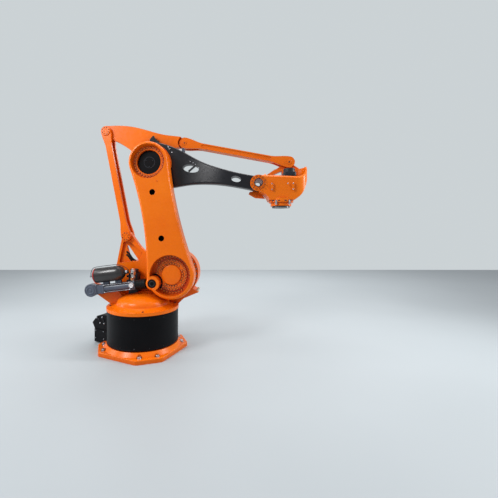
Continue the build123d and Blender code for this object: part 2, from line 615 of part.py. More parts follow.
def hand():
    """Bucket round the wrist motor, its far wall raised to the front rod's pivot."""
    above_floor = Pos(FLANGE_X, 0, HAND_FLOOR) * Box(700, 500, 400, align=(Align.CENTER, Align.CENTER, Align.MIN))
    cup = bucket(0) - (bucket(HAND_WALL) & above_floor)
    rim_cut = Pos(1400, HAND_NEAR, 1934) * Box(1400, 900, 600, align=(Align.CENTER, Align.CENTER, Align.MIN))
    cup -= rim_cut.rotate(Axis((1400, HAND_NEAR, 1934), (1, 0, 0)), 46).rotate(
        Axis((1400, HAND_NEAR, 1934), (0, 1, 0)), 3.7
    )
    cup -= slab(
        outline(Polyline((1200, 1700), (1200, 2200), (1560, 2200), (1560, 2087), (1405, 1982), (1330, 1925))
                , Polyline((1330, 1925), (1330, 1860), (1200, 1700))),
        114, 200,
    )
    neck = outline(
        Polyline((1405, 1982), (1578, 2093), (1640, 2180), (1722, 2180), (1740, 2104), (1790, 2072)),
        Polyline((1790, 2072), (1845, 1980), (1700, 1930), (1500, 1950), (1405, 1982)),
    )
    arch = slab(neck, HAND_FAR - HAND_WALL - 9, HAND_FAR)
    arch &= Pos(1600, 150, 1900) * Box(600, 100, 312)
    cup += arch
    cup += slab(neck, FRONT_LUG_NEAR, FRONT_LUG_FAR) & disc(FRONT_ROD_FRONT, 400, 0, 400)
    cup += slab(neck, 164, FRONT_LUG_NEAR + 1) & Pos(1600, 170, 1990) * Box(600, 100, 132)
    cup -= disc(FRONT_ROD_FRONT, 80, 100, FRONT_LUG_NEAR)
    window = outline(Polyline((1454, 1978), (1600, 2040), (1600, 1930), (1454, 1930), (1454, 1978)))
    cup -= slab(fillet(window.vertices(), 8), 100, 300)
    cup += disc(FRONT_ROD_FRONT, ROD_PIN_R, 143, 257)

    for near, far in ((HAND_NEAR, -HAND_SLOT_HALF), (HAND_SLOT_HALF, -HAND_NEAR)):
        cup += disc(WRIST, 84, near, far)
    cup -= disc(WRIST, WRIST_TIP_R + 10, -HAND_SLOT_HALF, HAND_SLOT_HALF)
    cup -= Pos(WRIST[0] - 100, 0, 1925) * Box(200, 2 * HAND_SLOT_HALF, 330)
    cup += tube(WRIST, HUB_RING_R, WRIST_PIN_R, HAND_NEAR, HAND_NEAR + 14)
    lug = outline(Polyline((1228, 1792), (1217, 1766), (1290, 1722), (1400, 1712), (1340, 1800), (1228, 1792)))
    cup += slab(lug, HAND_SLOT_HALF + 3, 108)
    cup += upright(FLANGE_X, 0, 132, 1655, 1700) + upright(FLANGE_X, 0, NECK_R, NECK_BOTTOM, 1660)
    cup += tube(WRIST, WRIST_PIN_R, WRIST_BORE_R, HAND_NEAR, -HAND_NEAR)
    cup -= disc(WRIST, WRIST_BORE_R, -120, 120)
    cup -= upright(FLANGE_X, 0, TOOL_SHAFT_R + RUNNING_GAP, 1600, 1800)
    return cup


def wrist_motor():
    return Pos(1658, 0, HAND_FLOOR) * servo_motor(136, 244, 62).rotate(Axis.Z, 90)


def tool_flange():
    """Round tool plate with its bolt circle, on the shaft from the hand's motor."""
    flange = upright(FLANGE_X, 0, TOOL_FLANGE_R, FLANGE_Z, FLANGE_Z + TOOL_FLANGE_THICKNESS)
    flange += upright(FLANGE_X, 0, TOOL_SHAFT_R, FLANGE_Z + TOOL_FLANGE_THICKNESS - 1, HAND_FLOOR - 5)
    for i in range(TOOL_BOLT_COUNT):
        x, y = polar(TOOL_BOLT_CIRCLE_R, 360 / TOOL_BOLT_COUNT * i)
        flange -= upright(FLANGE_X + x, y, TOOL_BOLT_HOLE_R, FLANGE_Z - 1, FLANGE_Z + 25)
    return flange


NODES = {
    "base_plate": base_plate,
    "base_cover": base_cover,
    "connector_box": connector_box,
    "connector_head": connector_head,
    "column": column,
    "shoulder_gearbox": shoulder_gearbox,
    "turntable_motor": turntable_motor,
    "shoulder_motor": shoulder_motor,
    "balancer_bracket": balancer_bracket,
    "stop_buffer": stop_buffer,
    "link_arm": link_arm,
    "balancer_pin": balancer_pin,
    "shoulder_gear_face": shoulder_gear_face,
    "elbow_ring": elbow_ring,
    "elbow_cap": elbow_cap,
    "balancer_clevis": balancer_clevis,
    "balancer_barrel": balancer_barrel,
    "balancer_sleeve": balancer_sleeve,
    "accumulator": accumulator,
    "accumulator_cradle": accumulator_cradle,
    "valve_block": valve_block,
    "pressure_gauge": pressure_gauge,
    "balancer_rod": balancer_rod,
    "rear_rod": rear_rod,
    "front_rod": front_rod,
    "lever": lever,
    "elbow_disc": elbow_disc,
    "elbow_motor": elbow_motor,
    "arm": arm,
    "hand": hand,
    "wrist_motor": wrist_motor,
    "tool_flange": tool_flange,
}

os.makedirs("parts", exist_ok=True)
for node, make in NODES.items():
    export_step(make(), f"parts/{node}.step")
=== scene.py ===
import json
import math

import bmesh
import bpy
from mathutils import Matrix, Vector


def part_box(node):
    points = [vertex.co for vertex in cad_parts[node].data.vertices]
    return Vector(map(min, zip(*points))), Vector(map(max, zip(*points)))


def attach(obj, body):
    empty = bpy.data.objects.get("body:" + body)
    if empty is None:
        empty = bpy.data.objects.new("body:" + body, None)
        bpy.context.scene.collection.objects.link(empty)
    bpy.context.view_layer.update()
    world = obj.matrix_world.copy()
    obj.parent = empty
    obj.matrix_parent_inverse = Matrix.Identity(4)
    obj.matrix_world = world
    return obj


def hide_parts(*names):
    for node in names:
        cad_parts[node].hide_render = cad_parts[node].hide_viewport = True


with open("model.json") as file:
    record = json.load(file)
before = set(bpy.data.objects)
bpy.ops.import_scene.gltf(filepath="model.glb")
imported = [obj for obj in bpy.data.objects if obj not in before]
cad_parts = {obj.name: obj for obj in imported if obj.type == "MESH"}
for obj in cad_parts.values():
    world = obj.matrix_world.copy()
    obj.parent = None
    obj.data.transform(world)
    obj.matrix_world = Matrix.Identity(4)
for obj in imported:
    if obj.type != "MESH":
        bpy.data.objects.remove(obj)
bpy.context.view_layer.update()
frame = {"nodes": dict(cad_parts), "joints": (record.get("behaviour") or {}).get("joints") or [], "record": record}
nodes = frame["nodes"]
pivots = {joint["name"]: Vector(joint["pos_m"]) for joint in frame["joints"]}

SHOULDER = pivots["a2_link"]
ELBOW = pivots["a3_arm"]
WRIST = pivots["a5_hand"]
TOOL = pivots["a6_tool"]
REAR_FOOT = pivots["rear_rod_foot"]
REAR_TOP = ELBOW + (REAR_FOOT - SHOULDER)
FRONT_REAR = pivots["front_rod_rear"]
FRONT_FRONT = WRIST + (FRONT_REAR - ELBOW)
TRUNNION = pivots["balancer_trunnion"]
BALANCER_PIN = pivots["balancer_rod_eye"]

# Places and sizes are in metres. The base is turned about the upright axis.
BASE_TURN = math.radians(-20)

# Faces that pieces stand on, and the plane of the balancer, as in the frame's nodes
LINK_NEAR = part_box("link_arm")[0].y
BOWL_FLOOR = -0.045
GEAR_PLATE = -0.061
TURNTABLE_TOP = 0.493
ELBOW_FLOOR = -0.095
HAND_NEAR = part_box("hand")[0].y
BALANCER_Y = -0.080

NEAR = Matrix.Rotation(math.pi / 2, 4, "X")
FAR = Matrix.Rotation(-math.pi / 2, 4, "X")
UP = Matrix.Identity(4)

# A screw's head is turned by this many times the angle of its place, so that neighbours differ
SCREW_SPIN = 3.7

# Most of a noise texture's values lie between these
NOISE_LOW, NOISE_HIGH = 0.3, 0.7


# Materials


class Shader:
    """A principled material whose colour, roughness and bump come from noise in object space."""

    def __init__(self, name):
        self.material = bpy.data.materials.new(name)
        self.material.use_nodes = True
        self.tree = self.material.node_tree
        self.surface = self.tree.nodes["Principled BSDF"]
        self.place = self.node("ShaderNodeTexCoord").outputs["Object"]
        self.normal = None

    def node(self, kind, **values):
        """A new node with its settings."""
        node = self.tree.nodes.new(kind)
        for key, value in values.items():
            setattr(node, key, value)
        return node

    def link(self, source, target):
        self.tree.links.new(source, target)

    def noise(self, scale, detail=3.0, roughness=0.5, stretch=None):
        """Noise in object space, squeezed along the axes by the stretch."""
        place = self.place
        if stretch:
            mapping = self.node("ShaderNodeMapping")
            mapping.inputs["Scale"].default_value = stretch
            self.link(place, mapping.inputs["Vector"])
            place = mapping.outputs["Vector"]
        noise = self.node("ShaderNodeTexNoise")
        noise.inputs["Scale"].default_value = scale
        noise.inputs["Detail"].default_value = detail
        noise.inputs["Roughness"].default_value = roughness
        self.link(place, noise.inputs["Vector"])
        return noise.outputs["Fac"]

    def ramp(self, source, stops):
        """A colour by the source's value, between stops of (value, colour)."""
        ramp = self.node("ShaderNodeValToRGB")
        elements = ramp.color_ramp.elements
        while len(elements) < len(stops):
            elements.new(0.5)
        for element, (place, colour) in zip(elements, stops):
            element.position = place
            element.color = (*colour, 1)
        self.link(source, ramp.inputs["Fac"])
        return ramp.outputs["Color"]

    def spread(self, source, low, high):
        """The source's noise spread between two values."""
        spread = self.node("ShaderNodeMapRange")
        spread.inputs["From Min"].default_value = NOISE_LOW
        spread.inputs["From Max"].default_value = NOISE_HIGH
        spread.inputs["To Min"].default_value = low
        spread.inputs["To Max"].default_value = high
        self.link(source, spread.inputs["Value"])
        return spread.outputs["Result"]

    def rounded_edges(self, radius):
        """Edges that take the light as if they were rounded."""
        bevel = self.node("ShaderNodeBevel", samples=4)
        bevel.inputs["Radius"].default_value = radius
        self.normal = bevel.outputs["Normal"]

    def paint_corner_shade(self, colour, corner):
        """Painted shade: the colour goes towards the corner colour where near surfaces take the light away."""
        reach, shut, clear = 0.14, 0.1, 0.85
        open_sky = self.node("ShaderNodeAmbientOcclusion", samples=6)
        open_sky.inputs["Distance"].default_value = reach
        amount = self.node("ShaderNodeMapRange")
        amount.inputs["From Min"].default_value = shut
        amount.inputs["From Max"].default_value = clear
        self.link(open_sky.outputs["AO"], amount.inputs["Value"])
        mix = self.node("ShaderNodeMix", data_type="RGBA")
        mix.inputs["A"].default_value = (*corner, 1)
        self.link(amount.outputs["Result"], mix.inputs["Factor"])
        self.link(colour, mix.inputs["B"])
        return mix.outputs["Result"]

    def bump(self, source, distance):
        """Relief as high as the distance, on top of what the surface has so far."""
        bump = self.node("ShaderNodeBump")
        bump.inputs["Distance"].default_value = distance
        self.link(source, bump.inputs["Height"])
        if self.normal:
            self.link(self.normal, bump.inputs["Normal"])
        self.normal = bump.outputs["Normal"]

    def finish(self, colour, roughness, **fixed):
        """The material. The roughness is a value or a node's output, and the rest are sockets' values."""
        self.link(colour, self.surface.inputs["Base Color"])
        if isinstance(roughness, float):
            self.surface.inputs["Roughness"].default_value = roughness
        else:
            self.link(roughness, self.surface.inputs["Roughness"])
        if self.normal:
            self.link(self.normal, self.surface.inputs["Normal"])
        for key, value in fixed.items():
            self.surface.inputs[key.replace("_", " ")].default_value = value
        return self.material


def enamel(name, dark, middle, light, rough, grain=0.00012, casting=0.0006, painted_shade=None, shine=0.25):
    """Sprayed paint over a casting: fine orange peel on slow waves, with painted shade in the corners."""
    shader = Shader(name)
    drift = shader.noise(scale=3.1, detail=4)
    colour = shader.ramp(drift, [(0.28, dark), (0.5, middle), (0.74, light)])
    # Painted shade: darker where near surfaces block the light
    if painted_shade:
        colour = shader.paint_corner_shade(colour, painted_shade)
    shader.rounded_edges(radius=0.004)
    shader.bump(shader.noise(scale=14), casting)
    shader.bump(shader.noise(scale=420, detail=2), grain)
    gloss = shader.spread(shader.noise(scale=22, detail=5, roughness=0.6), *rough)
    return shader.finish(colour, gloss, Specular_IOR_Level=shine)


def moulding(name, dark, light, rough, grain, shine=0.3):
    """Moulded plastic or rubber with an even grain."""
    shader = Shader(name)
    colour = shader.ramp(shader.noise(scale=5), [(NOISE_LOW, dark), (NOISE_HIGH, light)])
    shader.rounded_edges(radius=0.003)
    shader.bump(shader.noise(scale=650, detail=2, roughness=0.7), grain)
    gloss = shader.spread(shader.noise(scale=30, detail=4), *rough)
    return shader.finish(colour, gloss, Specular_IOR_Level=shine)


def metal(name, dark, light, rough, stretch, grain=0.00008):
    """Machined or plated metal with tool marks along one way."""
    shader = Shader(name)
    colour = shader.ramp(shader.noise(scale=9, detail=4), [(NOISE_LOW, dark), (NOISE_HIGH, light)])
    shader.rounded_edges(radius=0.0015)
    shader.bump(shader.noise(scale=160, roughness=0.6, stretch=stretch), grain)
    gloss = shader.spread(shader.noise(scale=60, detail=4, roughness=0.6, stretch=stretch), *rough)
    return shader.finish(colour, gloss, Metallic=1.0)


# Colour of the painted shade in the orange paint's corners
ORANGE_PAINTED_SHADE = (0.50, 0.040, 0.001)

# Colours from dark to light, then the least and the greatest roughness. A metal's next value is its
# stretch, a moulding's is its grain.
MATERIALS = {
    "orange_paint": enamel(
        "orange_paint", (0.87, 0.150, 0.0015), (0.91, 0.170, 0.002), (0.94, 0.190, 0.003), (0.22, 0.32),
        painted_shade=ORANGE_PAINTED_SHADE, casting=0.0004, shine=0.24,
    ),
    # Paler, glossier copy of the orange paint for screw heads: painted highlight
    "lit_screw_orange": enamel(
        "lit_screw_orange", (0.86, 0.20, 0.010), (0.90, 0.23, 0.014), (0.94, 0.26, 0.018), (0.22, 0.32), shine=0.5
    ),
    "arm_black": enamel(
        "arm_black", (0.0035, 0.0037, 0.0062), (0.005, 0.0053, 0.0088), (0.007, 0.0075, 0.012), (0.26, 0.34),
        casting=0.00025, shine=0.45,
    ),
    "motor_black": enamel(
        "motor_black", (0.018, 0.019, 0.025), (0.026, 0.0275, 0.035), (0.036, 0.038, 0.047), (0.34, 0.46)
    ),
    "grey_paint": enamel(
        "grey_paint", (0.068, 0.082, 0.114), (0.086, 0.102, 0.140), (0.108, 0.126, 0.168), (0.26, 0.36),
        casting=0.0002, shine=0.4,
    ),
    "bottle_black": enamel(
        "bottle_black", (0.012, 0.0105, 0.010), (0.016, 0.014, 0.0135), (0.021, 0.018, 0.0175), (0.27, 0.30),
        grain=0.00001, casting=0.00002, shine=0.7,
    ),
    "black_cover": moulding(
        "black_cover", (0.0014, 0.0014, 0.0022), (0.0024, 0.0024, 0.0036), (0.40, 0.48), 0.00012, 0.12
    ),
    "black_box": moulding(
        "black_box", (0.0022, 0.0022, 0.003), (0.0042, 0.0042, 0.0054), (0.4, 0.52), 0.0002, 0.12
    ),
    "black_rubber": moulding(
        "black_rubber", (0.003, 0.003, 0.0034), (0.006, 0.006, 0.0068), (0.45, 0.6), 0.0002
    ),
    "cream_plastic": moulding("cream_plastic", (0.66, 0.57, 0.40), (0.74, 0.66, 0.50), (0.40, 0.52), 0.0002),
    "gauge_white": moulding("gauge_white", (0.78, 0.79, 0.80), (0.86, 0.87, 0.88), (0.22, 0.30), 0.00003),
    "dark_steel": metal("dark_steel", (0.040, 0.040, 0.044), (0.085, 0.085, 0.092), (0.34, 0.5), (1, 1, 1)),
    "flange_steel": metal("flange_steel", (0.10, 0.10, 0.11), (0.18, 0.18, 0.19), (0.28, 0.42), (1, 1, 12)),
    "polished_rod": metal(
        "polished_rod", (0.70, 0.71, 0.73), (0.80, 0.81, 0.83), (0.08, 0.16), (14, 1, 1), 0.00002
    ),
    "brass_fittings": metal(
        "brass_fittings", (0.62, 0.56, 0.50), (0.80, 0.75, 0.68), (0.26, 0.40), (1, 1, 8)
    ),
    "zinc": metal("zinc", (0.46, 0.47, 0.50), (0.64, 0.66, 0.69), (0.24, 0.38), (1, 1, 1)),
    "red_band": moulding("red_band", (0.42, 0.016, 0.010), (0.52, 0.026, 0.014), (0.34, 0.46), 0.0001),
    "bronze": metal("bronze", (0.52, 0.25, 0.10), (0.70, 0.38, 0.18), (0.20, 0.32), (1, 1, 1)),
}

for part in frame["record"]["subparts"]:
    mesh = nodes[part["node"]].data
    mesh.materials.clear()
    mesh.materials.append(MATERIALS[part["material_slot"]])


# Small parts


class Pile:
    """Vertices and faces of many like things, joined into one mesh."""

    def __init__(self):
        self.verts = []
        self.faces = []

    def add(self, unit, place=UP):
        """Adds a unit, which is its vertices and faces."""
        start = len(self.verts)
        self.verts += [place @ Vector(v) for v in unit[0]]
        self.faces += [tuple(start + i for i in face) for face in unit[1]]

    def piece(self, name, body, slot, sharp=32):
        """The object, riding on its body. Edges sharper than the angle in degrees stay sharp."""
        mesh = bpy.data.meshes.new(name)
        mesh.from_pydata(self.verts, [], self.faces)
        tidy = bmesh.new()
        tidy.from_mesh(mesh)
        bmesh.ops.remove_doubles(tidy, verts=tidy.verts, dist=1e-6)
        bmesh.ops.dissolve_degenerate(tidy, edges=tidy.edges, dist=1e-6)
        bmesh.ops.recalc_face_normals(tidy, faces=tidy.faces)
        tidy.to_mesh(mesh)
        tidy.free()
        mesh.shade_smooth()
        mesh.set_sharp_from_angle(angle=math.radians(sharp))
        mesh.materials.append(MATERIALS[slot])
        piece = bpy.data.objects.new(name, mesh)
        bpy.context.scene.collection.objects.link(piece)
        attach(piece, body)
        return piece


def turned(profile, segments):
    """A profile of (radius, height) or (radius, height, sides) turned about Z."""
    verts, faces = [], []
    count = len(profile)
    for s in range(segments):
        angle = 2 * math.pi * s / segments
        for radius, height, *sides in profile:
            r = radius
            if sides:
                half = math.pi / sides[0]
                r = radius * math.cos(half) / math.cos(angle % (2 * half) - half)
            verts.append((r * math.cos(angle), r * math.sin(angle), height))
    for s in range(segments):
        after = (s + 1) % segments
        for i in range(count - 1):
            faces.append((s * count + i, after * count + i, after * count + i + 1, s * count + i + 1))
    return verts, faces


def plate(outline, height, edge):
    """An outline in x and y raised along Z, with its upper edge chamfered."""
    middle = Vector((sum(p[0] for p in outline), sum(p[1] for p in outline))) / len(outline)
    reach = max((Vector(p) - middle).length for p in outline)
    verts = []
    for scale, z in ((1, 0), (1, height - edge), (1 - edge / reach, height)):
        verts += [(*(middle + (Vector(p) - middle) * scale), z) for p in outline]
    count = len(outline)
    faces = [tuple(range(2 * count, 3 * count)), tuple(reversed(range(count)))]
    for row in (0, count):
        for i in range(count):
            after = (i + 1) % count
            faces.append((row + i, row + after, row + count + after, row + count + i))
    return verts, faces


def rounded(length, width, corner, steps=4):
    """Outline of a rectangle with round corners."""
    points = []
    for sx, sy, start in ((1, 1, 0), (-1, 1, 90), (-1, -1, 180), (1, -1, 270)):
        for i in range(steps + 1):
            turn = math.radians(start + 90 * i / steps)
            x = sx * (length / 2 - corner) + corner * math.cos(turn)
            points.append((x, sy * (width / 2 - corner) + corner * math.sin(turn)))
    return points


def smooth(path, steps=6):
    """Points on a smooth curve through the points of the path."""
    points = [Vector(p) for p in path]
    ends = [2 * points[0] - points[1]] + points + [2 * points[-1] - points[-2]]
    spine = []
    for a, b, c, d in zip(ends, ends[1:], ends[2:], ends[3:]):
        for i in range(steps):
            t = i / steps
            spine.append(0.5 * (
                2 * b + (c - a) * t + (2 * a - 5 * b + 4 * c - d) * t * t + (3 * b - a - 3 * c + d) * t ** 3
            ))
    return spine + [points[-1]]


def tube(path, radius):
    """A round tube on a smooth curve through the points of the path, closed at both ends."""
    sides = 12
    spine = smooth(path)
    verts, faces = [], []
    across = (spine[1] - spine[0]).orthogonal().normalized()
    for i, spot in enumerate(spine):
        ahead = (spine[min(i + 1, len(spine) - 1)] - spine[max(i - 1, 0)]).normalized()
        across = (across - ahead * across.dot(ahead)).normalized()
        up = ahead.cross(across)
        for s in range(sides):
            turn = 2 * math.pi * s / sides
            verts.append(spot + (across * math.cos(turn) + up * math.sin(turn)) * radius)
    for i in range(len(spine) - 1):
        for s in range(sides):
            after = (s + 1) % sides
            faces.append((i * sides + s, i * sides + after, (i + 1) * sides + after, (i + 1) * sides + s))
    last = (len(spine) - 1) * sides
    faces += [tuple(reversed(range(sides))), tuple(range(last, last + sides))]
    return verts, faces


def ring_sector(inner, outer, start, end, height):
    """Part of a flat ring, between two angles in degrees."""
    steps = 28
    verts, faces = [], []
    section = ((inner, 0), (outer, 0), (outer, height), (inner, height))
    for i in range(steps + 1):
        turn = math.radians(start + (end - start) * i / steps)
        verts += [(r * math.cos(turn), r * math.sin(turn), z) for r, z in section]
    for i in range(steps):
        for k in range(4):
            after = (k + 1) % 4
            faces.append((4 * i + k, 4 * i + after, 4 * i + 4 + after, 4 * i + 4 + k))
    faces += [(3, 2, 1, 0), tuple(range(4 * steps, 4 * steps + 4))]
    return verts, faces


def cap_screw(radius, height):
    """Socket head screw with a six-sided socket."""
    socket = radius * 0.58
    return turned([
        (radius, 0), (radius, height * 0.86), (radius * 0.88, height),
        (socket, height, 6), (socket, height * 0.4, 6), (0, height * 0.4),
    ], 24)


def hex_bolt(radius, height, washer_r):
    """Hexagon head bolt on a washer."""
    thick = height * 0.22
    return turned([
        (washer_r, 0), (washer_r, thick), (radius, thick), (radius, thick, 6), (radius, height * 0.9, 6),
        (radius * 0.84, height), (0, height),
    ], 24)


def collar(inner, outer, height):
    """A flat ring with a chamfered upper edge."""
    edge = min(height, outer - inner) * 0.3
    return turned([
        (inner, 0), (outer, 0), (outer, height - edge), (outer - edge, height),
        (inner + edge, height), (inner, height - edge), (inner, 0),
    ], 48)


def at(x, y, z, facing=UP):
    """A place whose Z looks the way that the facing turns it."""
    return Matrix.Translation((x, y, z)) @ facing


def aimed(spot, direction):
    """A place whose Z looks along a direction."""
    turn = Vector(direction).to_track_quat("Z", "Y").to_matrix().to_4x4()
    return Matrix.Translation(spot) @ turn


def side(centre, y, turn=0.0):
    """A place in a near side face, with its X turned up by an angle in degrees."""
    return at(centre.x, y, centre.z, NEAR @ Matrix.Rotation(math.radians(turn), 4, "Z"))


def around(centre, circle_r, angles, y, facing=NEAR):
    """Places on a circle in a side face, y being the face that the screws stand on."""
    places = []
    for angle in angles:
        turn = math.radians(angle)
        x, z = centre.x + circle_r * math.cos(turn), centre.z + circle_r * math.sin(turn)
        places.append(at(x, y, z, facing @ Matrix.Rotation(turn * SCREW_SPIN, 4, "Z")))
    return places


def every(step, start, end):
    """Angles in even steps from the start, as far as the end."""
    return [start + step * i for i in range(int((end - start) / step + 1e-6) + 1)]


def level_circle(x, y, z, circle_r, count, start):
    """Places evenly round a level circle, the first at the start angle in degrees."""
    places = []
    for i in range(count):
        turn = math.radians(start + 360.0 * i / count)
        spin = Matrix.Rotation(turn * SCREW_SPIN, 4, "Z")
        places.append(at(x + circle_r * math.cos(turn), y + circle_r * math.sin(turn), z, spin))
    return places


def at_pins(pins, faces):
    """Places on the axes of the pins, one on each face of a rod."""
    return [at(pin.x, y, pin.z, facing) for pin in pins for y, facing in faces]


def scatter(name, unit, places, body, slot, sharp=32):
    """One piece that has the same unit at each of the places."""
    pile = Pile()
    for place in places:
        pile.add(unit, place)
    return pile.piece(name, body, slot, sharp)


def screws_with_shadow_rings(name, places, body, shadow_ring, screw, slot):
    """Cap screws on dark rings that are painted shadow of the counterbores round their heads. Each ring is given
    as inner radius, outer radius and height.
    """
    scatter(name + "_shadow_rings", collar(*shadow_ring), places, body, "dark_steel")
    scatter(name + "_screws", cap_screw(*screw), places, body, slot)


# Base


def floor_bolts():
    """Four pairs of bolts on the seats of the base plate."""
    bolt_seat, pair_middle, bolt_spin = 0.039, 25, 5.3
    places = []
    for quarter in range(4):
        for offset, circle_r in ((-12, 0.441), (12, 0.449)):
            turn = math.radians(pair_middle + 90 * quarter + offset)
            spin = Matrix.Rotation(turn * bolt_spin, 4, "Z")
            places.append(at(circle_r * math.cos(turn), circle_r * math.sin(turn), bolt_seat, spin))
    scatter("floor_bolts", hex_bolt(0.0200, 0.024, 0.0262), places, "base", "zinc")


def cover_details():
    """A lip round each end of the black cover, and a row of screws beside each lip."""
    lower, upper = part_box("base_cover")
    cover_r, lip = upper.x, 0.0022
    rims = Pile()
    for low, high in ((upper.z - 0.013, upper.z), (lower.z, lower.z + 0.012)):
        rims.add(turned([
            (cover_r, high), (cover_r + lip, high - lip), (cover_r + lip, low + lip), (cover_r, low)
        ], 144))
    rims.piece("cover_rims", "base", "black_cover")
    outward = []
    for place in level_circle(0, 0, 0, cover_r, 16, 5):
        spot = place.to_translation()
        for z in (lower.z + 0.024, upper.z - 0.025):
            outward.append(aimed((spot.x, spot.y, z), (spot.x, spot.y, 0)))
    scatter("cover_screws", cap_screw(0.0055, 0.0035), outward, "base", "dark_steel")


def connector_details():
    """Lid screws, locking bails and hinge pins on the plug housing, which is turned with the base."""
    turn = Matrix.Rotation(BASE_TURN, 4, "Z")
    box_near, head_near, bail_gap, bail_r = -0.150, -0.140, 0.0035, 0.0042
    screws = [turn @ at(x, box_near, z, NEAR) for x in (-0.598, -0.470) for z in (0.062, 0.150)]
    scatter("box_screws", cap_screw(0.006, 0.004), screws, "base", "zinc")
    bail_lines = (
        ((-0.586, 0.302), (-0.556, 0.284), (-0.530, 0.246)),
        ((-0.500, 0.316), (-0.480, 0.288), (-0.468, 0.244)),
    )
    pin = turned([(0.008, 0), (0.008, 0.008), (0.006, 0.010), (0, 0.010)], 20)
    bails = Pile()
    pins = Pile()
    for line in bail_lines:
        bails.add(tube([(x, head_near - bail_gap, z) for x, z in line], bail_r), turn)
        for x, z in (line[0], line[-1]):
            pins.add(pin, turn @ at(x, head_near, z, NEAR))
    bails.piece("plug_bails", "base", "motor_black")
    pins.piece("plug_pins", "base", "zinc")


# Column


def column_details():
    """Bolts round the shoulder's disc and screws round the turntable."""
    disc_face = 0.125
    ring = around(SHOULDER, 0.252, every(13.2, -81, 100), disc_face)
    # Dark rings under the shoulder bolts: painted shadow of their counterbores
    scatter("shoulder_shadow_rings", collar(0.0098, 0.0150, 0.0012), ring, "column", "dark_steel")
    scatter("shoulder_bolts", cap_screw(0.0098, 0.0085), ring, "column", "zinc")
    level = level_circle(0, 0, TURNTABLE_TOP, 0.367, 4, -72.5)
    scatter("turntable_screws", hex_bolt(0.0085, 0.008, 0.012), level, "column", "dark_steel")


def tower_hose():
    """Two hoses across the tower's opening, with both ends in the casting."""
    hose_r, between = 0.013, 0.036
    path = [
        (-0.262, 0.160, 1.062), (-0.232, 0.162, 1.030), (-0.193, 0.165, 0.975),
        (-0.140, 0.165, 0.936), (-0.096, 0.160, 0.905),
    ]
    pile = Pile()
    for lift in (0, between):
        pile.add(tube([(x, y, z + lift) for x, y, z in path], hose_r))
    pile.piece("tower_hose", "column", "black_rubber", 60)


def turntable_dome():
    """Round-shouldered gear cover on the turntable, with a fillet at its foot."""
    dome_r, dome_top, fillet = 0.302, 0.634, 0.022
    low = TURNTABLE_TOP
    foot = smooth([
        (dome_r + fillet, 0, low), (dome_r + 0.007, 0, low + 0.007), (dome_r, 0, low + fillet)
    ], 4)
    crown = smooth([
        (dome_r, 0, low + fillet), (dome_r - 0.012, 0, 0.550), (dome_r - 0.038, 0, 0.576),
        (dome_r - 0.110, 0, 0.607), (0.090, 0, 0.628), (0.001, 0, dome_top),
    ])
    profile = [(p.x, p.z) for p in foot + crown] + [(0, dome_top)]
    scatter("turntable_dome", turned(profile, 96), [UP], "column", "orange_paint", 50)


def buffer():
    """Tapered polymer stop that leans out of the nose, in a steel cup."""
    foot, lean, length = Vector((0.600, 0.160, 0.622)), math.radians(34), 0.066
    place = aimed(foot, (math.sin(lean), 0, math.cos(lean)))
    taper = turned([
        (0.0180, 0), (0.0155, length - 0.010), (0.0140, length - 0.004), (0.0105, length - 0.001), (0, length)
    ], 32)
    stop = scatter("leaning_buffer", taper, [place], "column", "cream_plastic", 40)
    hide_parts("stop_buffer")
    cup = turned([(0.019, -0.004), (0.021, 0.000), (0.021, 0.007), (0.0178, 0.009)], 32)
    scatter("buffer_cup", cup, [place], "column", "dark_steel")


# Link arm


def link_screws():
    """Screws on the gear plate, in the bowl, in the elbow's recess and round the head behind it."""
    gear = around(SHOULDER, 0.166, every(12, -126, 174), GEAR_PLATE)
    for start, end in ((52, 124), (142, 160), (-34, 22), (-122, -60)):
        gear += around(SHOULDER, 0.129, every(14, start, end), GEAR_PLATE)
    screws_with_shadow_rings("gear", gear, "link_arm", (0.0090, 0.0140, 0.0012), (0.0092, 0.0080), "lit_screw_orange")
    bowl = []
    for start, end in ((-126, -56), (-6, 146)):
        bowl += around(SHOULDER, 0.205, every(10, start, end), BOWL_FLOOR)
    screws_with_shadow_rings("bowl", bowl, "link_arm", (0.0095, 0.0148, 0.0012), (0.0097, 0.010), "lit_screw_orange")
    recess = around(ELBOW, 0.163, every(12, 0, 348), ELBOW_FLOOR)
    screws_with_shadow_rings("elbow", recess, "link_arm", (0.0088, 0.0136, 0.0012), (0.0090, 0.009), "lit_screw_orange")
    ring_face = 0.0
    behind = around(ELBOW, 0.203, every(11.25, -50, 62), ring_face)
    scatter("head_ring_screws", cap_screw(0.0085, 0.008), behind, "link_arm", "dark_steel")


def gear_crown():
    """Raised round middle of the gear plate."""
    crown_r, crown_near = 0.112, 0.019
    crown = turned([
        (crown_r + 0.006, 0), (crown_r + 0.001, 0.003), (crown_r, 0.013), (crown_r - 0.003, 0.017),
        (crown_r - 0.009, crown_near), (0.030, crown_near + 0.0015), (0, crown_near + 0.0015),
    ], 96)
    scatter("gear_crown", crown, [side(SHOULDER, GEAR_PLATE)], "link_arm", "orange_paint", 50)


def pin_gap():
    """Black sheet in the gap round the balancer's pin, from the bowl's floor to the gear plate: painted shade of
    the deep gap.
    """
    gap_r, gap_width, proud = 0.0822, 0.017, 0.0012
    gap_shade = ring_sector(gap_r, gap_r + gap_width, -44, 96, BOWL_FLOOR - GEAR_PLATE + proud)
    scatter("pin_gap_shade", gap_shade, [side(BALANCER_PIN, BOWL_FLOOR)], "link_arm", "black_cover")


def link_bore_shades():
    """Black cups deep inside the link arm's two through holes: painted shade of the hollow arm behind them."""
    bore_r, deep, wall = 0.0328, 0.118, 0.003
    cup = turned([
        (bore_r, -wall), (bore_r, -deep), (0, -deep), (0, wall - deep), (bore_r - wall, wall - deep),
        (bore_r - wall, -wall), (bore_r, -wall)
    ], 40)
    places = [at(x, LINK_NEAR, z, NEAR) for x, z in ((0.2553, 1.2624), (0.1527, 1.7763))]
    scatter("link_bore_shades", cup, places, "link_arm", "black_cover")


